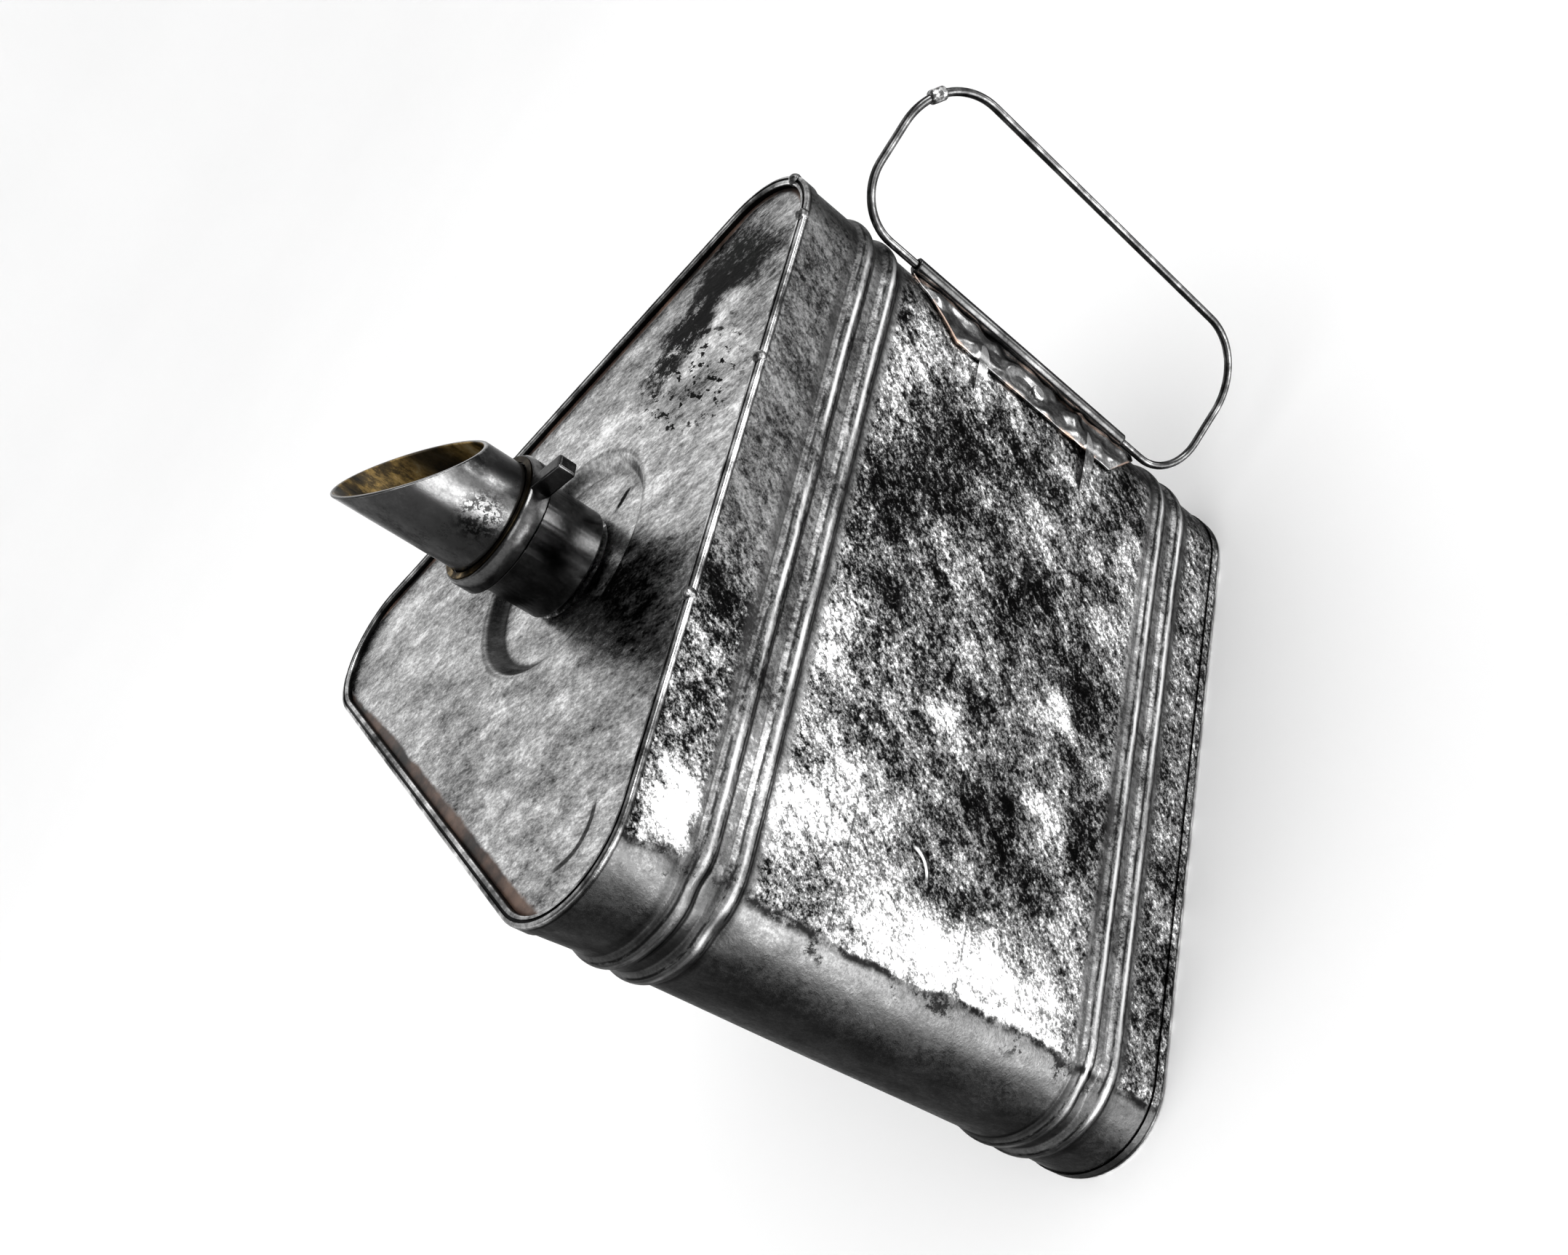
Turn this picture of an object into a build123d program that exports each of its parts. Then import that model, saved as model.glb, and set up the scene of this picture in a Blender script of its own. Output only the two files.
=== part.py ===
from build123d import *
import os
from math import cos, hypot, radians, sin, sqrt, acos, degrees

os.makedirs("parts", exist_ok=True)

# Triangular one-gallon petrol can, millimetres, +Z along the spout axis.
# The model is laid out with the spout axis on X = Y = 0 and moved to its row frame at the end.

# --- can body -------------------------------------------------------------------------
SIDE = 240.0            # side of the sharp-cornered triangle
CORNER_R = 23.6         # rounding of its three long edges
HEIGHT = 175.0          # rim to rim
WALL = 0.8
INRADIUS = SIDE / (2 * sqrt(3))
CORNER_C = 2 * INRADIUS - 2 * CORNER_R     # distance of a corner's arc centre from the axis

BEAD_OUT = 1.4          # how far a stiffening bead stands out
BEAD_W = 5.4
BEAD_FROM_END = (21.4, 30.4)

# --- rolled end seams and end panels ---------------------------------------------------
CHIME_OUT = 0.5         # outer lip, measured from the wall's outside
CHIME_IN = 2.3          # inner lip, measured inwards
CHIME_H = 4.0
CHIME_CAP = 0.9         # metal over the trapped edges
SHEET = 0.8             # end panel sheet
RECESS = 1.9            # rim down to the end panel
WELL_R = 32.9
WELL_FLOOR_R = 28.9
WELL_DEPTH = 3.6
FOOT_PANEL_STEP = 1.4   # raised field of the bottom panel

# --- neck, collar and spout ------------------------------------------------------------
NECK_BORE_R = 11.2
NECK_R = 12.4
NECK_TOP = HEIGHT + 11.3
NECK_FLANGE_R = 19.0
THREAD_PITCH = 3.0
THREAD_OUT = 0.9        # ridge height of both threads
COLLAR_R = 15.5
COLLAR_BORE_R = 13.7
COLLAR_LOW = HEIGHT - 3.8
COLLAR_TOP = HEIGHT + 15.1
COLLAR_SHELF = HEIGHT + 12.3    # underside of the shelf that presses on the gasket
RING_R = 18.4
RING_LOW = HEIGHT + 14.2
RING_TOP = HEIGHT + 20.1
TUBE_R = 15.4
TUBE_BORE_R = 14.2
TUBE_FLANGE_R = 17.0
TUBE_RELIEF = 0.25      # necked in where the ring and its washer go round the tube
TUBE_TAPER = 0.2        # lost from the outer radius between the straight part and the lip
TUBE_STRAIGHT = (HEIGHT + 20.5, HEIGHT + 29.5)
MOUTH_Z = HEIGHT + 43.3         # where the slanted mouth crosses the spout axis
MOUTH_ANGLE = 39.0
TIP_AZIMUTH = -92.0             # side of the spout's long lip, from +X
LUG_AZIMUTH = 44.0
LUG_TIP_R = 29.1
LUG_W = 4.2
LUG_LOW = HEIGHT + 14.9
LUG_TOP = HEIGHT + 20.0

# --- wire handle and its hinge plate ----------------------------------------------------
WIRE_R = 1.15
CURL_BORE_R = 1.25
CURL_R = 2.1
PLATE_T = CURL_R - CURL_BORE_R
CURL_AZIMUTH = 64.0             # where the hinge line sits round the top corner
CURL_DIST = 26.5                # hinge line from the corner's arc centre
CURL_SPAN = (49.6, 136.4)
PLATE_LOW_AZIMUTH = 29.0
PLATE_TOP_SPAN = (42.4, 136.4)
PLATE_LOW_SPAN = (56.6, 117.0)
HANDLE_Z = 93.0
HANDLE_ANGLE = 88.3             # the loop's plane at rest, from +X
HANDLE_REACH = 45.4             # hinge line to the grip wire
HANDLE_HALF = 67.8
LOOP_IN_R = 14.4
LOOP_OUT_R = 19.6
JOINT_TURN = 55.0               # where round the outer corner the wire's ends are brazed

# The row frame stands the can on its foot with the origin under the middle of its box.
Y_LOW = -INRADIUS - BEAD_OUT
Y_HIGH = (CORNER_C + CURL_DIST * sin(radians(CURL_AZIMUTH))
          + HANDLE_REACH * sin(radians(HANDLE_ANGLE)) + WIRE_R)
Y_SHIFT = -(Y_LOW + Y_HIGH) / 2

APEX = Vector(0, CORNER_C, 0)   # arc centre of the corner that carries the handle


def toward(azimuth):
    """Unit vector in the XY plane."""
    return Vector(cos(radians(azimuth)), sin(radians(azimuth)), 0)


def triangle(grow=0.0):
    """The can's rounded cross-section, offset outwards by grow."""
    r = 2 * (INRADIUS + grow)
    corners = [toward(90 + 120 * i) * r for i in range(3)]
    face = make_face(Polyline(*corners, close=True))
    return fillet(face.vertices(), CORNER_R + grow)


def prism(grow, low, high):
    """Rounded-triangle block between two heights."""
    return Pos(0, 0, low) * extrude(triangle(grow), high - low)


def skin(grow):
    """Can wall as a solid block, beads included, offset by grow."""
    block = prism(grow, CHIME_CAP, HEIGHT - CHIME_CAP)
    half = BEAD_W / 2 + grow
    for d in BEAD_FROM_END:
        for z in (d, HEIGHT - d):
            band = prism(grow + BEAD_OUT, z - half, z + half)
            rims = band.faces().sort_by(Axis.Z)
            edges = rims[0].edges() + rims[-1].edges()
            block += fillet(edges, min(BEAD_OUT, half) * 0.85)
    return block


def lathe(*points):
    """Solid of revolution about the spout axis from (radius, height) points."""
    return revolve(Plane.XZ * make_face(Polyline(*points, close=True)), Axis.Z)


def flip(shape):
    """The same piece at the other end of the can."""
    return mirror(shape, about=Plane.XY.offset(HEIGHT / 2))


def thread(root_r, out, low, turns):
    """Right-hand ridge on a cylinder, standing outwards for out > 0 and inwards for out < 0."""
    helix = Helix(pitch=THREAD_PITCH, height=THREAD_PITCH * turns, radius=root_r)
    sunk = -0.25 if out > 0 else 0.25
    half = THREAD_PITCH * 0.26
    section = make_face(Polyline(
        (root_r + sunk, -half), (root_r + sunk, half),
        (root_r + out, half * 0.35), (root_r + out, -half * 0.35), close=True))
    return Pos(0, 0, low) * sweep(Plane.XZ * section, path=helix, is_frenet=True)


# --- body ---------------------------------------------------------------------------------
shell_outside = skin(0)
body_shell = shell_outside - skin(-WALL)
for end in (0, 1):
    z = 0 if end == 0 else HEIGHT - 2 * CHIME_CAP
    body_shell -= prism(-WALL, z, z + 2 * CHIME_CAP)

# Folded lock seam up the middle of the flat underside, pressed over the beads.
SEAM_W = 9.0
SEAM_T = 0.7
seam_zone = Pos(0, -INRADIUS, HEIGHT / 2) * Box(SEAM_W, 12, HEIGHT - 2 * CHIME_H - 0.4)
side_seam = (skin(SEAM_T) & seam_zone) - shell_outside

panel_top = HEIGHT - RECESS
plain_panel = prism(-WALL, panel_top - SHEET, HEIGHT - CHIME_CAP)
plain_panel -= prism(-WALL - SHEET, panel_top, HEIGHT)

floor_top = panel_top - WELL_DEPTH
slope_in = SHEET * 0.3
top_panel = plain_panel - Pos(0, 0, panel_top - SHEET / 2) * Cylinder(WELL_R + 2, SHEET * 2)
top_panel += lathe(
    (WELL_R + 2, panel_top), (WELL_R, panel_top), (WELL_FLOOR_R, floor_top),
    (NECK_R + 0.1, floor_top), (NECK_R + 0.1, floor_top - SHEET),
    (WELL_FLOOR_R + slope_in, floor_top - SHEET), (WELL_R + slope_in, panel_top - SHEET),
    (WELL_R + 2, panel_top - SHEET))

# Bottom panel: the same flange with its middle field pressed inwards.
step_face = HEIGHT - RECESS - FOOT_PANEL_STEP
bottom_panel = plain_panel - prism(-18, step_face, HEIGHT)
bottom_panel += prism(-18 + SHEET, step_face - SHEET, step_face)
bottom_panel += prism(-18 + SHEET, step_face - SHEET, panel_top) - prism(-18, 0, HEIGHT)
bottom_panel = flip(bottom_panel)

chime = prism(CHIME_OUT, HEIGHT - CHIME_H, HEIGHT)
chime = fillet(chime.faces().sort_by(Axis.Z)[-1].edges(), 0.75)
hole = prism(-CHIME_IN, HEIGHT - CHIME_H - 1, HEIGHT + 1)
chime -= hole
inner_rim = chime.faces().sort_by(Axis.Z)[-1].inner_wires()[0].edges()
chime = fillet(inner_rim, 0.6)
chime -= prism(0, HEIGHT - CHIME_H, HEIGHT - CHIME_CAP) - prism(-WALL - SHEET, 0, HEIGHT)
chime -= prism(-WALL - SHEET, HEIGHT - CHIME_H, panel_top)
groove = prism(-0.5, HEIGHT - 0.3, HEIGHT) - prism(-1.3, HEIGHT - 0.3, HEIGHT)
top_chime = chime - groove
bottom_chime = flip(chime - groove)

# Solder blobs left on the rim: two on the corner's arc and two along the right-hand side.
face_n = toward(30)
face_down = toward(-60)
blob_spots = [APEX + toward(a) * (CORNER_R - 0.8) for a in (81, 31)]
blob_spots += [APEX + face_n * (CORNER_R - 0.8) + face_down * d for d in (45, 110)]
rim_solder_beads = Compound([
    (Pos(*(p + Vector(0, 0, HEIGHT - 0.5))) * Sphere(1.75) - chime).solids().sort_by(SortBy.VOLUME)[-1]
    for p in blob_spots])

# --- neck and screw collar -------------------------------------------------------------------
neck = lathe(
    (NECK_BORE_R, floor_top - 2 * SHEET), (NECK_FLANGE_R, floor_top - 2 * SHEET),
    (NECK_FLANGE_R, floor_top - SHEET), (NECK_R, floor_top - SHEET),
    (NECK_R, NECK_TOP), (NECK_BORE_R, NECK_TOP))
neck += thread(NECK_R, THREAD_OUT, HEIGHT + 1.5, 2.5)

neck_solder = lathe((NECK_R, floor_top), (NECK_R + 2.1, floor_top), (NECK_R, floor_top + 1.4))

flange_low = RING_LOW + 0.9
collar = lathe(
    (COLLAR_BORE_R, COLLAR_LOW), (COLLAR_R - 0.5, COLLAR_LOW), (COLLAR_R, COLLAR_LOW + 0.5),
    (COLLAR_R, flange_low), (TUBE_FLANGE_R, flange_low), (TUBE_FLANGE_R, COLLAR_TOP + 1.3),
    (TUBE_BORE_R, COLLAR_TOP + 1.3), (TUBE_BORE_R, COLLAR_SHELF + 1.6),
    (NECK_BORE_R, COLLAR_SHELF + 1.6), (NECK_BORE_R, COLLAR_SHELF), (COLLAR_BORE_R, COLLAR_SHELF))
collar += thread(COLLAR_BORE_R, -THREAD_OUT, HEIGHT + 1.5 - THREAD_PITCH / 2, 2.0)

collar_gasket = lathe(
    (NECK_BORE_R, NECK_TOP + 0.05), (COLLAR_BORE_R - 0.1, NECK_TOP + 0.05),
    (COLLAR_BORE_R - 0.1, COLLAR_SHELF), (NECK_BORE_R, COLLAR_SHELF))

# --- lock ring, thumb lug, spout ---------------------------------------------------------------
lip_top = RING_TOP - 0.4
lip_low = lip_top - 0.8
lock_ring = lathe(
    (COLLAR_R + 0.1, RING_LOW), (RING_R - 0.3, RING_LOW), (RING_R, RING_LOW + 0.3),
    (RING_R, RING_TOP - 1.0), (RING_R - 0.5, RING_TOP), (TUBE_FLANGE_R + 0.5, RING_TOP),
    (TUBE_FLANGE_R + 0.5, lip_top), (TUBE_R + 0.1, lip_top), (TUBE_R + 0.1, lip_low),
    (TUBE_FLANGE_R + 0.1, lip_low), (TUBE_FLANGE_R + 0.1, flange_low - 0.1),
    (COLLAR_R + 0.1, flange_low - 0.1))

lug_len = LUG_TIP_R - RING_R + 0.6
lug = Box(lug_len, LUG_W, LUG_TOP - LUG_LOW, align=(Align.MAX, Align.CENTER, Align.MIN))
lug = fillet(lug.faces().sort_by(Axis.X)[-1].edges(), 0.8)
lug = fillet(lug.edges().filter_by(Axis.X), 0.45)
thumb_lug = Rot(0, 0, LUG_AZIMUTH) * Pos(LUG_TIP_R, 0, LUG_LOW) * lug - lock_ring

spout_washer = lathe(
    (TUBE_R + 0.4, lip_top), (TUBE_FLANGE_R + 0.4, lip_top),
    (TUBE_FLANGE_R + 0.4, RING_TOP + 0.3), (TUBE_R + 0.4, RING_TOP + 0.3))

tube_low = COLLAR_TOP + 1.4
tube_top = MOUTH_Z + TUBE_R + 5
relief_r = TUBE_R - TUBE_RELIEF
straight_low, straight_high = TUBE_STRAIGHT
tube = lathe(
    (TUBE_BORE_R, tube_low), (TUBE_FLANGE_R, tube_low), (TUBE_FLANGE_R, tube_low + 1.2),
    (relief_r, tube_low + 1.2), (relief_r, straight_low - TUBE_RELIEF), (TUBE_R, straight_low),
    (TUBE_R, straight_high), (TUBE_R - TUBE_TAPER, tube_top), (TUBE_BORE_R, tube_top))
tip = toward(TIP_AZIMUTH)
mouth_normal = Vector(0, 0, cos(radians(MOUTH_ANGLE))) - tip * sin(radians(MOUTH_ANGLE))
mouth = Plane(origin=(0, 0, MOUTH_Z), z_dir=mouth_normal)
above = Box(120, 120, 60, align=(Align.CENTER, Align.CENTER, Align.MIN))
spout_tube = tube - mouth * above
mouth_face = spout_tube.faces().filter_by(GeomType.PLANE).sort_by(Axis.Z)[-1]
spout_tube = fillet(mouth_face.edges(), 0.35)

spout_seal = lathe(
    (TUBE_R + 0.05, tube_low + 1.25), (TUBE_FLANGE_R - 0.05, tube_low + 1.25),
    (TUBE_FLANGE_R - 0.05, lip_low - 0.05), (TUBE_R + 0.05, lip_low - 0.05))

# --- hinge plate: bent round the corner, then curled over into the hinge tube ------------------
curl_c = APEX + toward(CURL_AZIMUTH) * CURL_DIST
run_depth = CORNER_R + CURL_R
run = sqrt(CURL_DIST ** 2 - run_depth ** 2)
leave = CURL_AZIMUTH - degrees(acos(run_depth / CURL_DIST))   # the plate lifts off the can here


def at_apex(azimuth, radius):
    return APEX + toward(azimuth) * radius


mid = (PLATE_LOW_AZIMUTH + leave) / 2
wrap = make_face([
    ThreePointArc(at_apex(PLATE_LOW_AZIMUTH, CORNER_R), at_apex(mid, CORNER_R),
                  at_apex(leave, CORNER_R)),
    Line(at_apex(leave, CORNER_R), at_apex(leave, CORNER_R + PLATE_T)),
    ThreePointArc(at_apex(leave, CORNER_R + PLATE_T), at_apex(mid, CORNER_R + PLATE_T),
                  at_apex(PLATE_LOW_AZIMUTH, CORNER_R + PLATE_T)),
    Line(at_apex(PLATE_LOW_AZIMUTH, CORNER_R + PLATE_T), at_apex(PLATE_LOW_AZIMUTH, CORNER_R))])
along = toward(leave + 90)
foot = at_apex(leave, CORNER_R)
lift = toward(leave) * PLATE_T
strip = make_face(Polyline(foot, foot + along * run, foot + along * run + lift, foot + lift,
                           close=True))
sheet_low, sheet_high = PLATE_TOP_SPAN
sheet = Pos(0, 0, sheet_low) * extrude(wrap + strip, sheet_high - sheet_low)

# Sloping ends and clipped corners of the plate, cut square to the sheet.
view_az = 45.0
cut_plane = Plane(origin=tuple(APEX), x_dir=tuple(toward(view_az + 90)),
                  z_dir=tuple(toward(view_az)))
reach = CURL_DIST
t_low = reach * sin(radians(PLATE_LOW_AZIMUTH - view_az)) - 1
t_mid = reach * sin(radians(CURL_AZIMUTH - 6 - view_az))
t_high = reach * sin(radians(CURL_AZIMUTH + 12 - view_az))
low_a, low_b = PLATE_LOW_SPAN
outline = make_face(Polyline(
    (t_low, low_a), (t_mid, sheet_low), (t_high, sheet_low),
    (t_high, sheet_high), (t_mid, sheet_high), (t_low, low_b), close=True))
sheet &= cut_plane * Pos(0, 0, 10) * extrude(outline, 30)

curl_low, curl_high = CURL_SPAN
curl = Pos(*curl_c) * Circle(CURL_R) - Pos(*curl_c) * Circle(CURL_BORE_R)
slit = Pos(*curl_c) * Rot(0, 0, leave + 180 + 60) * Pos(CURL_R, 0) * Rectangle(2.4, 0.3)
handle_bracket = sheet + Pos(0, 0, curl_low) * extrude(curl - slit, curl_high - curl_low)
handle_bracket -= Pos(*(curl_c + Vector(0, 0, HEIGHT / 2))) * Cylinder(CURL_BORE_R, HEIGHT)

# One rivet through plate and can wall.
RIVET_R = 1.2
RIVET_Z = 87.3
RIVET_AZIMUTH = 41.0
rivet_plane = Plane(origin=tuple(APEX + Vector(0, 0, RIVET_Z)), z_dir=tuple(toward(RIVET_AZIMUTH)))


def up_rivet(radius, low, high):
    base = (Align.CENTER, Align.CENTER, Align.MIN)
    return Pos(0, 0, low) * Cylinder(radius, high - low, align=base)


rivet_hole = rivet_plane * up_rivet(RIVET_R, 15, 35)
head = up_rivet(2.4, CORNER_R, CORNER_R + PLATE_T + 1.2)
head = fillet(head.edges().sort_by(Axis.Z)[-1], 0.9)
tail = up_rivet(2.0, CORNER_R - WALL - 1.0, CORNER_R - 0.2)
body_shell -= rivet_hole
handle_bracket -= rivet_hole
rivet = rivet_plane * (head + tail + up_rivet(RIVET_R, CORNER_R - WALL - 1.0, CORNER_R + 0.5))
bracket_rivet = rivet - handle_bracket - body_shell

# Two pressed darts that stiffen the plate's lower edge, leaf shaped, tapering on to the can.
DARTS = ((109.6, 9.5), (64.6, 14.0))    # height up the can, length below the corner's arc
DART_OUT = 1.9
DART_W = 3.6


def dart(z, length):
    top_t = -CORNER_R * sin(radians(19))
    top_n = CORNER_R * cos(radians(19)) + PLATE_T
    crest_t = (top_t + length) / 2 - 1.5
    places = [(top_t, top_n), (crest_t, CORNER_R + DART_OUT), (length, CORNER_R)]
    ends = [APEX + face_down * t + face_n * n for t, n in places]
    floor_mid = APEX + face_n * (CORNER_R - 3)
    crescent = make_face([ThreePointArc(*ends), Line(ends[2], floor_mid), Line(floor_mid, ends[0])])
    body = Pos(0, 0, z - DART_W) * extrude(crescent, 2 * DART_W)
    leaf = make_face([
        ThreePointArc((top_t, 0), (crest_t, DART_W / 2), (length, 0)),
        ThreePointArc((length, 0), (crest_t, -DART_W / 2), (top_t, 0))])
    leaf_plane = Plane(origin=tuple(APEX + Vector(0, 0, z)), x_dir=tuple(face_down),
                       z_dir=tuple(face_n))
    body &= leaf_plane * Pos(0, 0, 15) * extrude(leaf, 20)
    return (body - shell_outside - handle_bracket).solids().sort_by(SortBy.VOLUME)[-1]


bracket_darts = Compound([dart(*place) for place in DARTS])

# --- wire handle ------------------------------------------------------------------------------
half_out = HANDLE_HALF - LOOP_OUT_R
half_in = HANDLE_HALF - LOOP_IN_R
crossbar = HANDLE_REACH - LOOP_OUT_R - LOOP_IN_R
loop_steps = [("turn", LOOP_OUT_R, JOINT_TURN), ("run", 2 * half_out), ("turn", LOOP_OUT_R, 90),
              ("run", crossbar), ("turn", LOOP_IN_R, 90), ("run", 2 * half_in),
              ("turn", LOOP_IN_R, 90), ("run", crossbar), ("turn", LOOP_OUT_R, 90 - JOINT_TURN)]
start = Vector(HANDLE_REACH - LOOP_OUT_R, half_out) + Vector(
    cos(radians(JOINT_TURN)), sin(radians(JOINT_TURN))) * LOOP_OUT_R
heading = Vector(sin(radians(JOINT_TURN)), -cos(radians(JOINT_TURN)))
loop = []
for step in loop_steps:
    if step[0] == "run":
        loop.append(Line(start, start + heading * step[1]))
    else:
        loop.append(JernArc(start=start, tangent=heading, radius=step[1], arc_size=-step[2]))
    start = loop[-1] @ 1
    heading = loop[-1] % 1
swing = Plane(origin=tuple(curl_c + Vector(0, 0, HANDLE_Z)), x_dir=tuple(toward(HANDLE_ANGLE)),
              z_dir=tuple(toward(HANDLE_ANGLE - 90)))
wire_path = swing * Wire([edge for piece in loop for edge in piece.edges()])
handle_wire = sweep(Plane(origin=wire_path @ 0, z_dir=wire_path % 0) * Circle(WIRE_R),
                    path=wire_path)

weld = Cylinder(WIRE_R + 0.75, 5.0)
weld = fillet(weld.edges().filter_by(GeomType.CIRCLE), 0.8)
handle_weld = Plane(origin=wire_path @ 0, z_dir=wire_path % 0) * weld - handle_wire

# --- export -------------------------------------------------------------------------------------
NODES = {
    "body_shell": body_shell, "side_seam": side_seam, "top_panel": top_panel,
    "bottom_panel": bottom_panel, "top_chime": top_chime, "bottom_chime": bottom_chime,
    "rim_solder_beads": rim_solder_beads, "neck": neck, "neck_solder": neck_solder,
    "collar": collar, "collar_gasket": collar_gasket, "lock_ring": lock_ring,
    "thumb_lug": thumb_lug, "spout_washer": spout_washer, "spout_tube": spout_tube,
    "spout_seal": spout_seal, "handle_bracket": handle_bracket, "bracket_rivet": bracket_rivet,
    "bracket_darts": bracket_darts, "handle_wire": handle_wire, "handle_weld": handle_weld,
}
for name, shape in NODES.items():
    placed = Pos(0, Y_SHIFT, 0) * shape
    export_step(placed, f"parts/{name}.step")
    print(name, len(placed.solids()), round(placed.volume, 1), placed.is_valid)
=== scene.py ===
from math import acos, cos, degrees, exp, pi, radians, sin, sqrt, tan

import bpy
from mathutils import Matrix, Vector, noise


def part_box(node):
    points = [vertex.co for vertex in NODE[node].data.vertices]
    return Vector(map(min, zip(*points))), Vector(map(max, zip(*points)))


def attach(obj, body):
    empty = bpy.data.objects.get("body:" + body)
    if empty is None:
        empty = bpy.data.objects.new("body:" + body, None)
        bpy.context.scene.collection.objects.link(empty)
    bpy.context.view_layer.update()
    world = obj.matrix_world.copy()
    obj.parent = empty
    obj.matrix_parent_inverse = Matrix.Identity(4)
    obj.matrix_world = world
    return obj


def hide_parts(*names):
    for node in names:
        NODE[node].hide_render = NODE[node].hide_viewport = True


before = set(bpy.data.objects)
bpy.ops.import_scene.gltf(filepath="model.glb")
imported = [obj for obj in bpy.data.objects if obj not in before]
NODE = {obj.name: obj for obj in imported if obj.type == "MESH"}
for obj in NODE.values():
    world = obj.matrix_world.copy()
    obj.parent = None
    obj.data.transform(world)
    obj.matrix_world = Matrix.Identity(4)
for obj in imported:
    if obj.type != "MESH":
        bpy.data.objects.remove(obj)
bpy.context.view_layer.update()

# Everything is in the row frame: +Z up the can, the spout's axis at X = 0. Lengths are in metres.
MM = 0.001

# --- the can's main sizes --------------------------------------------------------------------
AXIS = Vector((0, (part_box("neck")[0].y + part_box("neck")[1].y) / 2, 0))
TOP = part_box("top_chime")[1].z
CORNER_R = 23.6 * MM
INRADIUS = 240 * MM / (2 * sqrt(3))
CORNER_C = 2 * INRADIUS - 2 * CORNER_R
FLAT = CORNER_C * sqrt(3)
ARC = CORNER_R * radians(120)
WALL = 0.8 * MM
WALL_END = 0.95 * MM                # the side wall stops this far inside both seams
BEADS = (21.4 * MM, 30.4 * MM)      # from either end of the can
BEAD_OUT = 1.4 * MM
BEAD_HALF = 3.0 * MM
PANEL_Z = TOP - 1.9 * MM
PANEL_INSET = 1.75 * MM
NECK_HOLE = 12.6                    # radius in mm
WELL_DEPTH = 3.6 * MM
WELL_WALL = (28.4 * MM, 33.2 * MM)  # radii of the foot and the top of its sloping wall
WELL_RIM = 34.0 * MM

# --- the hinge plate on the corner at azimuth 90 -------------------------------------------------
CURL_AZIMUTH = 64.0
CURL_DIST = 26.5 * MM
CURL_R = 2.1 * MM
CURL_TURN = 322.0                   # degrees of tube
CURL_ENDS = (49.6, 136.4)           # heights in mm
PLATE_T = 0.85 * MM
PLATE_FIRST_AZIMUTH = 29.0
PLATE_LOW = (56.6, 42.4)            # the slanted lower end: heights far from the tube and near it
PLATE_HIGH = (117.0, 136.4)         # the slanted upper end


def toward(azimuth):
    return Vector((cos(radians(azimuth)), sin(radians(azimuth)), 0))


APEX = AXIS + toward(90) * CORNER_C
FACE_N = toward(30)
FACE_S = toward(-60)


def smooth(x, low, high):
    t = min(1.0, max(0.0, (x - low) / (high - low)))
    return t * t * (3 - 2 * t)


# --- mesh helpers -----------------------------------------------------------------------------
def new_object(name, verts, faces, body, slot, *stands_for):
    mesh = bpy.data.meshes.new(name)
    mesh.from_pydata([tuple(v) for v in verts], [], faces)
    mesh.validate()
    obj = bpy.data.objects.new(name, mesh)
    bpy.context.scene.collection.objects.link(obj)
    for poly in mesh.polygons:
        poly.use_smooth = True
    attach(obj, body)
    if stands_for:
        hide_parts(*stands_for)
    return obj


def grid_faces(rows, cols, wrap, first=0):
    faces = []
    for i in range(rows - 1):
        for j in range(cols if wrap else cols - 1):
            k = (j + 1) % cols
            a, b = first + i * cols, first + (i + 1) * cols
            faces.append((a + j, a + k, b + k, b + j))
    return faces


def thicken(obj, thickness, offset=-1):
    mod = obj.modifiers.new("sheet", "SOLIDIFY")
    mod.thickness = thickness
    mod.offset = offset


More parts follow.
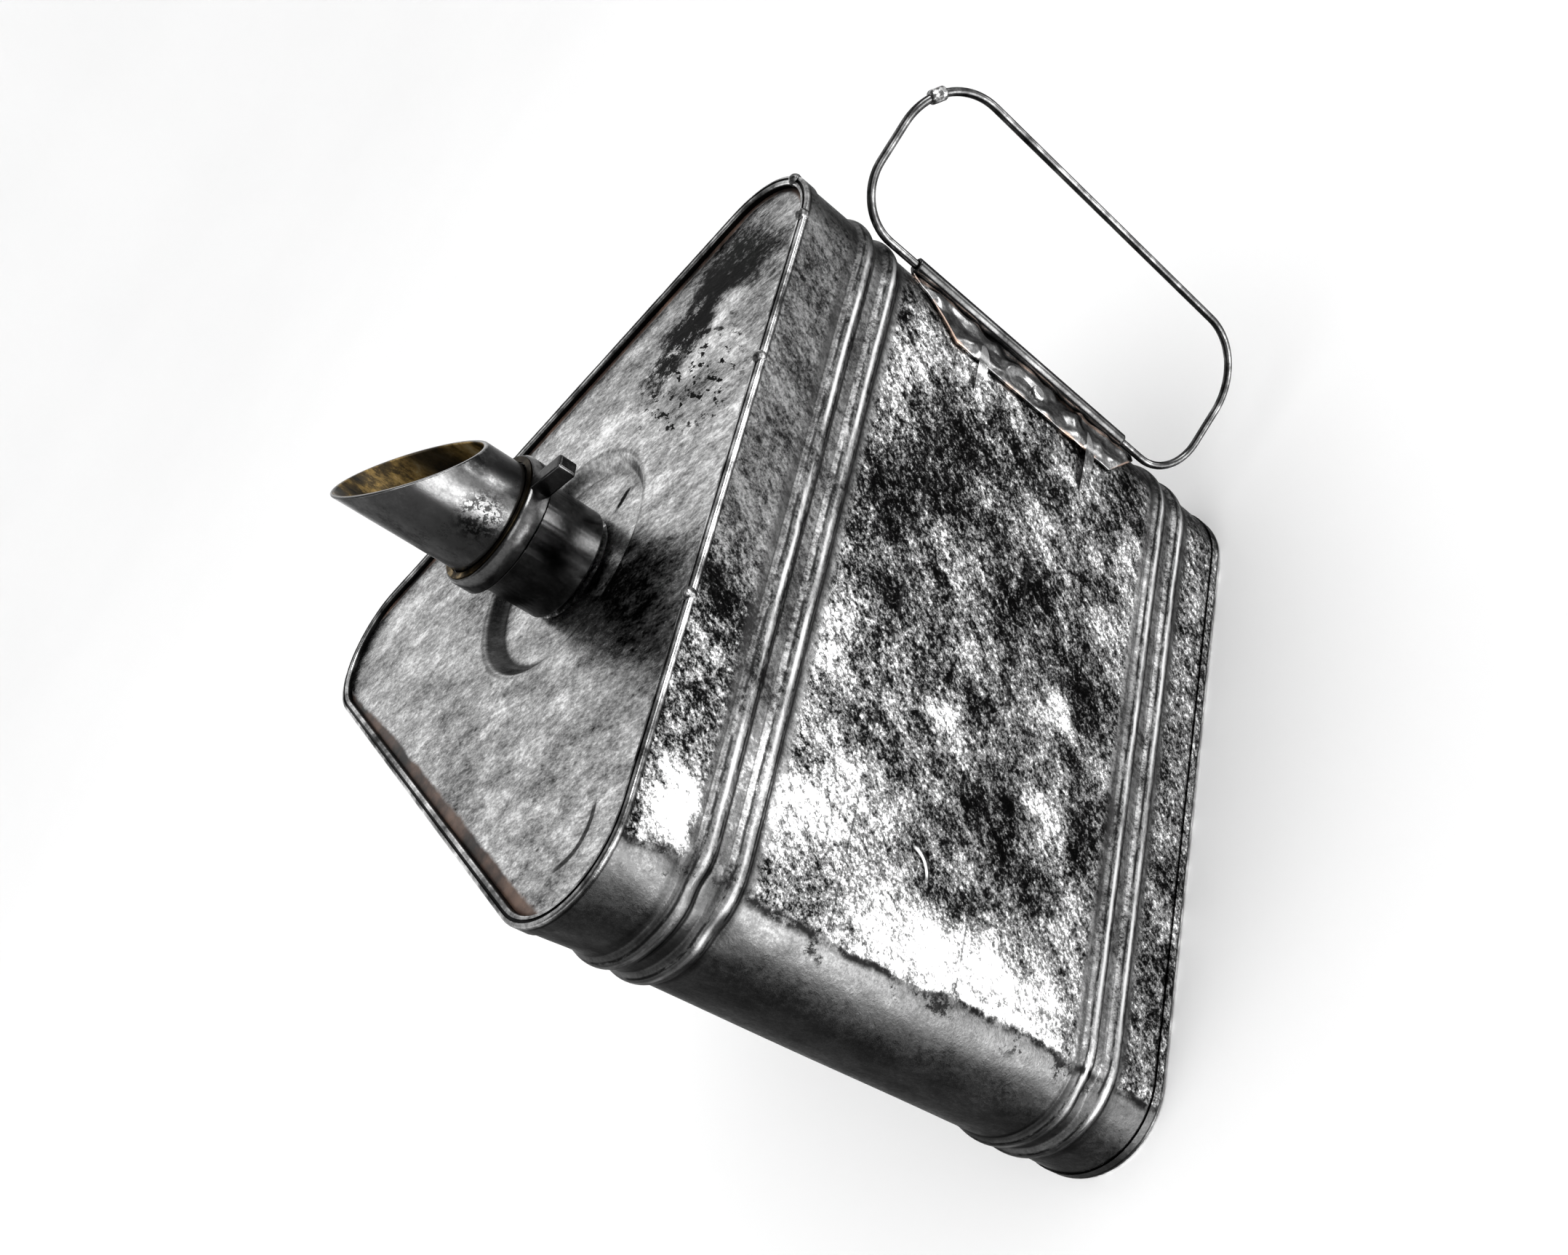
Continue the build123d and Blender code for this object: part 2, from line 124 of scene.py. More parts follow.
# --- materials ----------------------------------------------------------------------------------
class Look:
    """A principled material, with short calls for the textures that feed it. Sizes are in mm."""

    def __init__(self, name, metallic=1.0, **fixed):
        self.mat = bpy.data.materials.new(name)
        self.mat.use_nodes = True
        self.tree = self.mat.node_tree
        self.tree.nodes.clear()
        self.shader = self.node("ShaderNodeBsdfPrincipled")
        out = self.node("ShaderNodeOutputMaterial")
        self.tree.links.new(self.shader.outputs[0], out.inputs[0])
        self.place = self.node("ShaderNodeTexCoord").outputs["Object"]
        self.shader.inputs["Metallic"].default_value = metallic
        self.shader.inputs["Specular Tint"].default_value = (0.5, 0.5, 0.5, 1)
        for key, value in fixed.items():
            self.shader.inputs[key.replace("_", " ")].default_value = value

    def node(self, kind, **props):
        n = self.tree.nodes.new(kind)
        for key, value in props.items():
            setattr(n, key, value)
        return n

    def feed(self, socket, value):
        if isinstance(value, bpy.types.NodeSocket):
            self.tree.links.new(value, socket)
        else:
            socket.default_value = value

    def math(self, op, *values, clamp=False):
        n = self.node("ShaderNodeMath", operation=op, use_clamp=clamp)
        for socket, value in zip(n.inputs, values):
            self.feed(socket, value)
        return n.outputs[0]

    def add(self, *values):
        total = values[0]
        for v in values[1:]:
            total = self.math("ADD", total, v)
        return total

    def mul(self, *values):
        total = values[0]
        for v in values[1:]:
            total = self.math("MULTIPLY", total, v)
        return total

    def most(self, *values):
        total = values[0]
        for v in values[1:]:
            total = self.math("MAXIMUM", total, v)
        return total

    def swing(self, value, amount):
        """A noise about 0.5 turned into plus or minus half the amount."""
        return self.mul(self.math("SUBTRACT", value, 0.5), amount)

    def vector(self, op, *values):
        n = self.node("ShaderNodeVectorMath", operation=op)
        for socket, value in zip(n.inputs, values):
            self.feed(socket, value)
        return n.outputs["Value"] if op in ("DOT_PRODUCT", "LENGTH") else n.outputs[0]

    def step(self, value, low, high, to_low=0.0, to_high=1.0):
        """Smooth step from to_low at low to to_high at high."""
        n = self.node("ShaderNodeMapRange", interpolation_type="SMOOTHSTEP")
        flip = not isinstance(low, bpy.types.NodeSocket) and low > high
        ends = (high, low, to_high, to_low) if flip else (low, high, to_low, to_high)
        for socket, v in zip(n.inputs, (value, *ends)):
            self.feed(socket, v)
        return n.outputs[0]

    def band(self, value, centre, half, soft):
        """1 within half of the centre, falling to 0 over soft."""
        off = self.math("ABSOLUTE", self.math("SUBTRACT", value, centre))
        return self.step(off, half + soft, half)

    def noise(self, size, detail=6, rough=0.6, at=None, stretch=(1, 1, 1), turn=(0, 0, 0),
              shift=0.0, colour=False):
        """Noise about 0.5. Its features are stretched along axes turned by some degrees."""
        m = self.node("ShaderNodeMapping", vector_type="TEXTURE")
        self.feed(m.inputs[0], at if at is not None else self.place)
        m.inputs["Location"].default_value = (shift, shift * 0.7, -shift)
        m.inputs["Rotation"].default_value = [radians(a) for a in turn]
        m.inputs["Scale"].default_value = stretch
        n = self.node("ShaderNodeTexNoise", noise_dimensions="3D", noise_type="FBM")
        self.feed(n.inputs["Vector"], m.outputs[0])
        n.inputs["Scale"].default_value = 1000.0 / size
        n.inputs["Detail"].default_value = detail
        n.inputs["Roughness"].default_value = rough
        return n.outputs["Color" if colour else 0]

    def bend(self, at, size, by):
        """Coordinates pushed about by noise, by up to that many mm each way."""
        push = self.vector("SUBTRACT", self.noise(size, 3, 0.6, colour=True), (0.5, 0.5, 0.5))
        scaled = self.node("ShaderNodeVectorMath", operation="SCALE")
        self.feed(scaled.inputs[0], push)
        scaled.inputs["Scale"].default_value = 4 * by * MM
        return self.vector("ADD", at, scaled.outputs[0])

    def ramp(self, value, *stops):
        n = self.node("ShaderNodeValToRGB")
        self.feed(n.inputs[0], value)
        while len(n.color_ramp.elements) < len(stops):
            n.color_ramp.elements.new(0.5)
        for element, (at, colour) in zip(n.color_ramp.elements, stops):
            element.position = at
            grey = (colour, colour, colour) if isinstance(colour, (int, float)) else colour
            element.color = (*grey, 1)
        return n.outputs[0]

    def mix(self, fac, a, b):
        n = self.node("ShaderNodeMix", data_type="RGBA")
        self.feed(n.inputs[0], fac)
        for socket, value in ((n.inputs[6], a), (n.inputs[7], b)):
            if isinstance(value, bpy.types.NodeSocket):
                self.tree.links.new(value, socket)
            else:
                grey = (value, value, value) if isinstance(value, (int, float)) else value
                socket.default_value = (*grey, 1)
        return n.outputs[2]

    def blob(self, centre, radii, turn=0.0, at=None):
        """1 at the centre of an ellipsoid, falling to 0 at its surface. It turns about X."""
        m = self.node("ShaderNodeMapping", vector_type="TEXTURE")
        self.feed(m.inputs[0], at if at is not None else self.place)
        m.inputs["Location"].default_value = [c * MM for c in centre]
        m.inputs["Rotation"].default_value = (radians(turn), 0, 0)
        m.inputs["Scale"].default_value = [r * MM for r in radii]
        return self.step(self.vector("LENGTH", m.outputs[0]), 1.0, 0.0)

    def along(self, direction, origin=(0, 0, 0), at=None):
        """Distance in mm along a direction, from an origin."""
        away = self.vector("SUBTRACT", at if at is not None else self.place, tuple(origin))
        return self.mul(self.vector("DOT_PRODUCT", away, tuple(direction)), 1000.0)

    def turned(self, azimuth, origin):
        """Object coordinates about an origin, turned so that +X points along an azimuth."""
        m = self.node("ShaderNodeMapping", vector_type="TEXTURE")
        self.feed(m.inputs[0], self.place)
        m.inputs["Location"].default_value = tuple(origin)
        m.inputs["Rotation"].default_value = (0, 0, radians(azimuth))
        return m.outputs[0]

    def radius(self, origin=AXIS):
        """Distance in mm from the vertical line through an origin."""
        away = self.vector("SUBTRACT", self.place, tuple(origin))
        return self.mul(self.vector("LENGTH", self.vector("MULTIPLY", away, (1, 1, 0))), 1000.0)

    def attribute(self, name):
        return self.node("ShaderNodeAttribute", attribute_name=name).outputs["Fac"]

    def finish(self, colour, roughness, height=None, bump_mm=0.05, metallic=None):
        self.feed(self.shader.inputs["Base Color"], colour)
        self.feed(self.shader.inputs["Roughness"], roughness)
        if metallic is not None:
            self.feed(self.shader.inputs["Metallic"], metallic)
        if height is not None:
            b = self.node("ShaderNodeBump")
            b.inputs["Strength"].default_value = 1.0
            b.inputs["Distance"].default_value = bump_mm * MM
            self.feed(b.inputs["Height"], height)
            self.feed(self.shader.inputs["Normal"], b.outputs[0])
        return self.mat


def paint(obj, material):
    obj.data.materials.clear()
    obj.data.materials.append(material)


# Bright and dark clouds in the zinc of the side at azimuth 30, which the camera sees: place along
# the side from its middle and up the can, half sizes, tilt, and how much lighter or darker, in
# millimetres and degrees. All were set one by one, and most amounts were then scaled down
# together.
CLOUDS = (
    (-64, 132, 20, 16, 0, 0.21), (-44, 117, 30, 22, -30, -0.28), (-8, 128, 36, 16, 20, -0.13),
    (12, 134, 12, 12, 0, 0.14), (34, 138, 16, 14, 0, 0.10), (-30, 98, 14, 12, 0, 0.06),
    (-62, 88, 26, 26, 0, -0.26), (-24, 77, 20, 24, 35, -0.26), (-12, 54, 24, 15, 20, -0.20),
    (3, 58, 8, 16, -10, 0.44), (21, 96, 13, 15, 20, 0.26), (35, 80, 24, 16, 30, -0.28),
    (28, 61, 11, 14, 30, 0.27), (28, 42, 22, 13, 0, -0.25), (14, 46, 10, 9, 0, -0.17),
    (52, 56, 14, 20, 30, -0.14), (-40, 38, 42, 11, 0, 0.16), (-82, 45, 9, 8, 0, -0.26),
    (64, 130, 30, 34, 0, 0.32), (80, 92, 22, 46, 0, 0.50), (80, 54, 24, 44, 0, 0.40),
    (54, 42, 14, 10, 0, 0.18), (48, 104, 14, 20, 30, 0.11), (-66, 64, 20, 14, 0, 0.05),
    (76, 164, 14, 12, 0, 0.48), (-50, 164, 70, 12, 0, -0.06), (22, 166, 26, 10, 0, -0.08),
    (58, 8, 30, 12, 0, -0.08), (-30, 8, 60, 12, 0, 0.08),
)


def worn_zinc(look):
    """Colour, roughness and height of the zinc, and the mask of the rounded edges by the
    underside, which carry a painted dark reflection.
    """
    side = look.turned(30, AXIS)                    # X out of the side, -Y along it, Z up
    bent = look.bend(side, 16, 5)
    x_abs = look.math("ABSOLUTE", look.along((1, 0, 0), AXIS))
    y = look.along((0, 1, 0), AXIS)
    z = look.along((0, 0, 1))
    z_end = look.math("MINIMUM", z, look.math("SUBTRACT", TOP / MM, z))
    tone = 0.42
    for s, up, half_s, half_z, tilt, amount in CLOUDS:
        shape = look.blob((INRADIUS / MM, -s, up), (14, half_s, half_z), tilt, bent)
        tone = look.add(look.mul(shape, amount), tone)
    streak = dict(at=side, stretch=(1, 0.8, 1.35), turn=(-35, 0, 0))
    clouds = look.noise(34, 3, 0.6, **streak)
    patches = look.noise(12, 5, 0.8, **streak)
    grain = look.noise(1.7, 3, 0.85, at=side, stretch=(1, 0.85, 1.15), turn=(-35, 0, 0))
    fine = look.noise(0.8, 2, 0.8)

    # The grain is weaker on the top strip towards the handle, and between the beads.
    strip = look.mul(look.step(z, 150, 156), look.step(look.along(FACE_S, AXIS), 40, 0))
    between = look.mul(look.step(z_end, 37, 35), look.step(z_end, 16, 18))
    calm = look.math("SUBTRACT", 1.0, look.most(look.mul(strip, 0.62), look.mul(between, 0.6)))
    speckle = look.add(look.swing(grain, 1.6), look.swing(fine, 1.0))
    rough_tone = look.add(look.swing(patches, 1.55), look.swing(clouds, 0.55), speckle)
    value = look.add(tone, look.mul(rough_tone, calm))
    zinc = look.ramp(value, (0.12, 0.001), (0.28, 0.008), (0.37, 0.04), (0.46, 0.09),
                     (0.62, 0.17), (0.72, 0.36), (0.94, 0.85))

    # The long rounded edges by the flat underside get a painted reflection, smooth and dark, with
    # a ragged dark line along its border and dark blots.
    ragged = look.swing(look.noise(26, 6, 0.66, shift=0.3), 9)
    edge_s = look.add(look.mul(x_abs, 0.5), look.mul(y, -0.866), ragged)
    edge_x = look.add(x_abs, look.mul(ragged, 2.0))
    by_edge = look.step(edge_x, 58, 62)
    rounded = look.mul(look.step(edge_s, 84.2, 85.4), look.step(edge_x, 61.0, 62.2))
    shade = look.noise(16, 9, 0.74, stretch=(1, 1, 2.2))
    painted_dark_reflection = look.ramp(look.add(shade, look.swing(fine, 0.25)),
                            (0.28, 0.025), (0.44, 0.06), (0.56, 0.095), (0.72, 0.19))
    colour = look.mix(rounded, zinc, painted_dark_reflection)
    blots = look.mul(look.band(edge_s, 87.5, 1.0, 3.5), by_edge,
                     look.step(look.noise(15, 8, 0.8, shift=0.7), 0.55, 0.60))
    colour = look.mix(look.mul(blots, 0.95), colour, 0.003)
    # A ragged dark line along the border of the painted reflection.
    dark_mark = look.mul(look.band(edge_s, 85.4, 0.3, 1.6), by_edge,
                     look.step(look.noise(11, 8, 0.8, shift=0.1), 0.42, 0.54))
    colour = look.mix(look.mul(dark_mark, 0.97), colour, 0.003)
    rough = look.add(look.step(value, 0.2, 0.9, 0.46, 0.28), look.swing(fine, 0.15))
    return colour, rough, look.add(patches, grain, look.mul(fine, 0.3)), rounded


def galvanised():
    look = Look("galvanised_worn")
    colour, rough, height, rounded = worn_zinc(look)
    z = look.along((0, 0, 1))
    z_end = look.math("MINIMUM", z, look.math("SUBTRACT", TOP / MM, z))

    # Two fine level scratches, and a curved bright one with a dark outer side.
    gaps = look.step(look.noise(9, 6, 0.75, stretch=(1, 1, 0.3), shift=0.4), 0.40, 0.52)
    level = look.add(z, look.swing(look.noise(40, 3, 0.5), 1.2))
    scratches = look.add(look.band(level, 78.0, 0.1, 0.4), look.band(level, 118.0, 0.1, 0.4))
    flat = look.math("SUBTRACT", 0.7, look.mul(rounded, 0.7))
    colour = look.mix(look.mul(scratches, gaps, flat), colour, 0.015)
    hook_c = AXIS + FACE_N * INRADIUS + FACE_S * (62 * MM) + Vector((0, 0, 99 * MM))
    away = look.vector("SUBTRACT", look.place, tuple(hook_c))
    hook_r = look.mul(look.vector("LENGTH", away), 1000.0)
    hook_zone = look.mul(look.step(look.along(FACE_S, AXIS), 62, 60), look.step(z, 99, 97))
    colour = look.mix(look.mul(look.band(hook_r, 6.9, 0.1, 0.5), hook_zone, 0.6), colour, 0.02)
    colour = look.mix(look.mul(look.band(hook_r, 6.1, 0.1, 0.5), hook_zone, 0.8), colour, 0.80)

    # The beads: a bright line on each crest, worn metal with a painted highlight, between thin
    # black lines of painted shade, and darker bands at their feet.
    wavy = look.add(z_end, look.swing(look.noise(14, 5, 0.7, shift=0.2), 0.9))
    scuffs = look.noise(30, 7, 0.7, stretch=(1, 1, 0.16), shift=0.5)
    foot = look.add(look.mul(look.band(wavy, 17.4, 0.4, 2.6), 0.80),
                    look.mul(look.band(wavy, 26.2, 0.4, 2.0), 0.55),
                    look.mul(look.band(wavy, 33.6, 0.3, 1.3), 0.85))
    foot = look.mul(foot, look.step(scuffs, 0.70, 0.40, 0.35, 1.0))
    colour = look.mix(foot, colour, 0.02)
    # Painted highlight on the crests, mixed with worn metal.
    crest_wear_and_highlight = look.add(*[look.band(wavy, b / MM, 0.1, 0.8) for b in BEADS])
    colour = look.mix(look.mul(crest_wear_and_highlight, look.step(scuffs, 0.36, 0.60), 0.8), colour, 0.48)
    beside = [b / MM + d for b in BEADS for d in (-1.7, 1.5)]
    # Painted shade: thin black lines on the flanks beside each crest.
    shade_lines = look.add(*[look.band(wavy, height_mm, 0.12, 0.4) for height_mm in beside])
    colour = look.mix(look.mul(shade_lines, gaps, 0.92), colour, 0.006)
    return look.finish(colour, rough, height, 0.07)


# Dark marks on the end panel: x and y from the spout's axis, half sizes, and how much
# darker. The first one is broken up into specks. Millimetres.
PANEL_MARKS = (
    (-9, 65, 15, 26, 0.8), (-4, 88, 32, 26, 0.46), (7, 76, 8, 12, -0.35), (16, 52, 20, 12, 0.16),
    # The last two marks are a painted reflection of the dark spout on the panel.
    (46, 3, 42, 19, 0.36), (24, 1, 16, 14, 0.30),
)
MARK_DEPTH = 12


def end_sheet():
    look = Look("end_sheet_worn")
    x, y = look.along((1, 0, 0), AXIS), look.along((0, 1, 0), AXIS)
    r = look.radius()
    clouds = look.noise(30, 4, 0.6)
    fibre = look.noise(8, 5, 0.8, stretch=(1.7, 0.8, 1), turn=(0, 0, 38))
    fine = look.noise(1.5, 3, 0.85, stretch=(1.3, 0.85, 1), turn=(0, 0, 38))
    tone = look.add(0.59, look.swing(fibre, 0.85), look.swing(clouds, 0.5), look.swing(fine, 0.8))
    bent = look.bend(look.turned(0, AXIS), 9, 4)
    broken = look.step(look.noise(6, 6, 0.85, shift=0.6), 0.36, 0.56)
    marks = []
    for mark_x, mark_y, half_x, half_y, amount in PANEL_MARKS:
        shape = look.blob((mark_x, mark_y, PANEL_Z / MM), (half_x, half_y, MARK_DEPTH), 0, bent)
        marks.append(look.mul(shape, amount) if marks else look.mul(shape, broken, amount))
    by_spout = look.blob((5, -24, PANEL_Z / MM), (1.7, 5, MARK_DEPTH))
    # The last two marks paint the spout's reflection as dark shade.
    dark = look.add(*marks, look.mul(by_spout, 0.8))
    flecks = look.step(look.noise(3.2, 3, 0.7, stretch=(1.6, 0.8, 1)), 0.58, 0.62)
    fleck_zone = look.blob((10, 55, PANEL_Z / MM), (38, 24, MARK_DEPTH), 0, bent)
    tone = look.add(tone, look.mul(dark, -1.0), look.mul(flecks, fleck_zone, -0.8))
    colour = look.ramp(tone, (0.12, 0.001), (0.28, 0.006), (0.38, 0.08), (0.50, 0.21),
                       (0.64, 0.38), (0.84, 0.86))

    # Painted shade on the wall of the well, darkest on the side away from the apex, and a thin
    # painted dark outline at its top edge.
    across = look.add(look.mul(x, -0.6), look.mul(y, -0.8))
    wall = look.mul(look.band(r, 30.0, 1.6, 1.6), look.step(across, -14, 12, 0.30, 0.93))
    outline = look.mul(look.band(r, 33.0, 0.2, 0.8), 0.5)
    colour = look.mix(look.most(wall, outline), colour, 0.012)

    # A curved dark scratch by the corner at azimuth -30.
    scratch_c = AXIS + Vector((78, -47, 0)) * MM
    scratch = look.mul(look.band(look.radius(scratch_c), 10.5, 0.5, 0.5),
                       look.step(x, 83.5, 86))
    colour = look.mix(look.mul(scratch, 0.9), colour, 0.01)

    # Brown dirt in the angle between panel and rim, widest along the flat underside.
    ragged = look.swing(look.noise(11, 7, 0.7), 3.0)
    low_edge = look.step(look.add(y, ragged, look.mul(look.step(x, -30, -80), 1.6)), -63.2, -64.4)
    left = look.add(look.mul(x, -0.866), look.mul(y, 0.5), look.mul(ragged, 0.5))
    right = look.add(look.mul(x, 0.866), look.mul(y, 0.5), look.mul(ragged, 0.4))
    rims = [low_edge, look.step(left, 64.0, 65.4), look.step(right, 65.6, 66.8)]
    for azimuth, inset in ((90, 3.2), (-30, 2.9)):
        out = toward(azimuth)
        corner = AXIS + out * CORNER_C
        edge_r = CORNER_R / MM
        near = look.step(look.along(out, corner), edge_r * 0.35, edge_r * 0.55)
        reach = look.add(look.radius(corner), look.mul(ragged, 0.4))
        rims.append(look.mul(look.step(reach, edge_r - inset - 1, edge_r - inset), near))
    darkened = look.most(*rims)
    brown = look.ramp(look.noise(16, 6, 0.7, shift=0.2), (0.38, (0.006, 0.005, 0.004)),
                      (0.5, (0.04, 0.024, 0.018)), (0.66, (0.12, 0.075, 0.055)))
    colour = look.mix(darkened, colour, brown)
    rough = look.step(tone, 0.2, 0.8, 0.20, 0.30)
    rough = look.add(rough, look.mul(darkened, 0.3))
    metallic = look.math("SUBTRACT", 1.0, look.mul(darkened, 0.85))
    return look.finish(colour, rough, look.add(fibre, look.mul(fine, 0.3)), 0.07, metallic)


def seam_steel():
    look = Look("rolled_seam_steel")
    z = look.along((0, 0, 1))
    end = look.math("MINIMUM", z, look.math("SUBTRACT", TOP / MM, z))
    facing = look.node("ShaderNodeNewGeometry").outputs["Normal"]
    level = look.math("ABSOLUTE", look.vector("DOT_PRODUCT", facing, (0.0, 0.0, 1.0)))
    out = look.vector("SUBTRACT", look.place, tuple(AXIS))
    outward = look.mul(look.vector("DOT_PRODUCT", facing, out), 1000.0)
    wear = look.noise(13, 5, 0.7)
    fine = look.noise(1.2, 3, 0.8)
    tone = look.add(wear, look.swing(fine, 0.15))
    crown = look.ramp(tone, (0.34, 0.02), (0.46, 0.12), (0.58, 0.36), (0.74, 0.75))
    side, rough, height, _ = worn_zinc(look)
    skirt = look.mul(look.step(outward, 5, 30), look.step(end, 1.1, 1.4))
    colour = look.mix(skirt, crown, side)
    # Painted shade: the seam's inner wall, its level faces away from the very end, and a band
    # where the outer skirt meets the crown are darkened to near black.
    under = look.mul(look.step(outward, 5, 30), look.band(end, 1.3, 0.15, 0.35))
    groove = look.mul(look.step(level, 0.9, 0.97), look.step(end, 0.1, 0.2))
    inner = look.mul(look.step(outward, -5.0, -30.0), look.step(end, 0.3, 0.9))
    darkened = look.most(inner, groove, look.mul(under, 0.8))
    colour = look.mix(look.mul(darkened, 0.97), colour, 0.004)
    rough = look.mix(skirt, look.step(tone, 0.3, 0.7, 0.36, 0.18), rough)
    return look.finish(colour, rough, height, 0.06)


def solder():
    look = Look("solder_dull")
    lumps = look.noise(1.6, 5, 0.6)
    colour = look.ramp(lumps, (0.38, 0.02), (0.52, 0.12), (0.66, 0.60))
    return look.finish(colour, look.step(lumps, 0.3, 0.7, 0.45, 0.25), lumps, 0.25)


def dark_steel():
    look = Look("blackened_steel")
    wear = look.noise(9, 6, 0.7)
    fine = look.noise(0.8, 3, 0.8)
    tone = look.add(wear, look.swing(fine, 0.5))
    colour = look.ramp(tone, (0.30, 0.035), (0.54, 0.085), (0.68, 0.13), (0.84, 0.26))
    return look.finish(colour, look.step(wear, 0.3, 0.7, 0.17, 0.27), look.add(fine, wear), 0.012)


def spout_steel():
    look = Look("spout_polished")
    r = look.radius()
    wear = look.noise(9, 10, 0.74, stretch=(1, 1, 1.5))
    fine = look.noise(0.8, 4, 0.75)
    tone = look.add(wear, look.swing(fine, 0.25))
    outside = look.ramp(tone, (0.28, 0.025), (0.42, 0.07), (0.56, 0.12), (0.74, 0.22))
    # Painted shade: a dark patch on the tube's upper side, broken up by the tone, damps the
    # studio's highlight there.
    dark_mark = look.blob((12, AXIS.y / MM + 11, 212), (9, 9, 14))
    outside = look.mix(look.mul(dark_mark, look.step(tone, 0.62, 0.38), 1.6), outside, 0.02)
    specks = look.mul(look.step(look.noise(2.0, 4, 0.9), 0.47, 0.53),
                      look.blob((15, AXIS.y / MM - 1, 202), (12, 9, 9)), 1.8)
    outside = look.mix(look.math("MINIMUM", specks, 0.94), outside, 0.008)
    lip = look.step(r, 15.2, 14.9)
    outside = look.mix(lip, outside, 0.22)
    rust = look.ramp(look.noise(8, 7, 0.78, stretch=(1, 1, 2.6), shift=0.2),
                     (0.38, (0.006, 0.005, 0.003)), (0.48, (0.05, 0.034, 0.013)),
                     (0.57, (0.26, 0.17, 0.055)), (0.72, (0.50, 0.42, 0.26)))
    # A dark band runs down the inside of the tube, between the gold streaks.
    dark_inner_band = look.mul(look.band(look.along((0, 1, 0), AXIS), 5.5, 1.5, 6.0), 0.92)
    rust = look.mix(dark_inner_band, rust, 0.006)
    inside = look.step(r, 14.75, 14.45)
    colour = look.mix(inside, outside, rust)
    rough = look.add(look.step(tone, 0.3, 0.7, 0.30, 0.16), look.mul(inside, 0.18))
    metallic = look.math("SUBTRACT", 1.0, look.mul(inside, 0.45))
    return look.finish(colour, rough, tone, 0.03, metallic)


def brass():
    look = Look("washer_brass")
    wear = look.noise(5, 8, 0.7)
    colour = look.ramp(wear, (0.38, (0.006, 0.005, 0.003)), (0.5, (0.06, 0.042, 0.02)),
                       (0.68, (0.36, 0.27, 0.14)))
    shaded = look.step(look.along((0, 1, 0), AXIS), -14, -8)
    colour = look.mix(look.mul(shaded, 0.9), colour, (0.010, 0.008, 0.005))
    return look.finish(colour, look.step(wear, 0.3, 0.7, 0.5, 0.28), wear, 0.05)


def rubber():
    look = Look("seal_rubber", metallic=0.0)
    grain = look.noise(1.2, 5, 0.6)
    colour = look.ramp(grain, (0.35, 0.010), (0.65, 0.035))
    return look.finish(colour, look.step(grain, 0.3, 0.7, 0.65, 0.85), grain, 0.04)


def bright_plate(name):
    look = Look(name)
    wear = look.noise(9, 9, 0.7, stretch=(1, 1, 1.6))
    fine = look.noise(1.0, 4, 0.7)
    tone = look.add(wear, look.swing(fine, 0.2))
    colour = look.ramp(tone, (0.32, 0.01), (0.44, 0.06), (0.56, 0.17), (0.66, 0.45), (0.76, 0.85))
    return look, colour, tone


def hinge_plate():
    look, colour, tone = bright_plate("hinge_plate_bright")
    patchy = look.step(look.noise(16, 5, 0.6, shift=0.3), 0.44, 0.58)
    ragged = look.add(look.attribute("edge_mm"), look.swing(look.noise(4, 5, 0.6), 1.2))
    rust = look.mul(look.step(ragged, 0.9, 0.3), patchy)
    colour = look.mix(look.mul(rust, 0.8), colour, (0.40, 0.28, 0.22))
    rough = look.add(look.step(tone, 0.3, 0.7, 0.26, 0.12), look.mul(rust, 0.3))
    from_curl = look.radius(APEX + toward(CURL_AZIMUTH) * CURL_DIST)
    barrel = look.step(from_curl, 3.1, 2.8)
    worn = look.ramp(tone, (0.34, 0.012), (0.48, 0.04), (0.60, 0.08), (0.74, 0.25))
    colour = look.mix(barrel, colour, worn)
    seam = look.mul(look.band(from_curl, 3.6, 0.3, 0.7), look.step(tone, 0.44, 0.54))
    colour = look.mix(look.mul(seam, 0.7), colour, (0.42, 0.30, 0.24))
    return look.finish(colour, rough, tone, 0.05)


def plate_fitting():
    look, colour, tone = bright_plate("hinge_fitting_bright")
    side_end = -FLAT / 2 / MM
    on_can = look.step(look.along(FACE_S, AXIS), side_end - 0.5, side_end + 1.0)
    zinc = worn_zinc(look)[0]
    bright = look.ramp(tone, (0.34, 0.30), (0.60, 0.85))
    colour = look.mix(on_can, bright, look.mix(0.45, colour, zinc))
    return look.finish(colour, look.step(tone, 0.3, 0.7, 0.26, 0.12), tone, 0.05)


def wire_steel():
    look = Look("wire_steel_dark")
    wear = look.noise(7, 8, 0.7)
    colour = look.ramp(wear, (0.34, 0.015), (0.5, 0.06), (0.66, 0.20))
    return look.finish(colour, look.step(wear, 0.3, 0.7, 0.28, 0.14), wear, 0.05)


LOOKS = {
    "galvanised": galvanised(), "end_sheet": end_sheet(), "seam_steel": seam_steel(),
    "solder": solder(), "dark_steel": dark_steel(), "spout_steel": spout_steel(),
    "brass": brass(), "rubber": rubber(), "bright_plate": plate_fitting(),
    "wire_steel": wire_steel(),
}
SLOTS = {
    "side_seam": "galvanised", "bottom_panel": "end_sheet", "top_chime": "seam_steel",
    "bottom_chime": "seam_steel", "rim_solder_beads": "solder", "neck": "dark_steel",
    "neck_solder": "solder", "collar": "dark_steel", "collar_gasket": "rubber",
    "lock_ring": "dark_steel", "thumb_lug": "dark_steel", "spout_washer": "brass",
    "spout_tube": "spout_steel", "spout_seal": "rubber", "bracket_rivet": "bright_plate",
    "bracket_darts": "bright_plate", "handle_wire": "wire_steel", "handle_weld": "solder",
}
for name, slot in SLOTS.items():
    paint(NODE[name], LOOKS[slot])

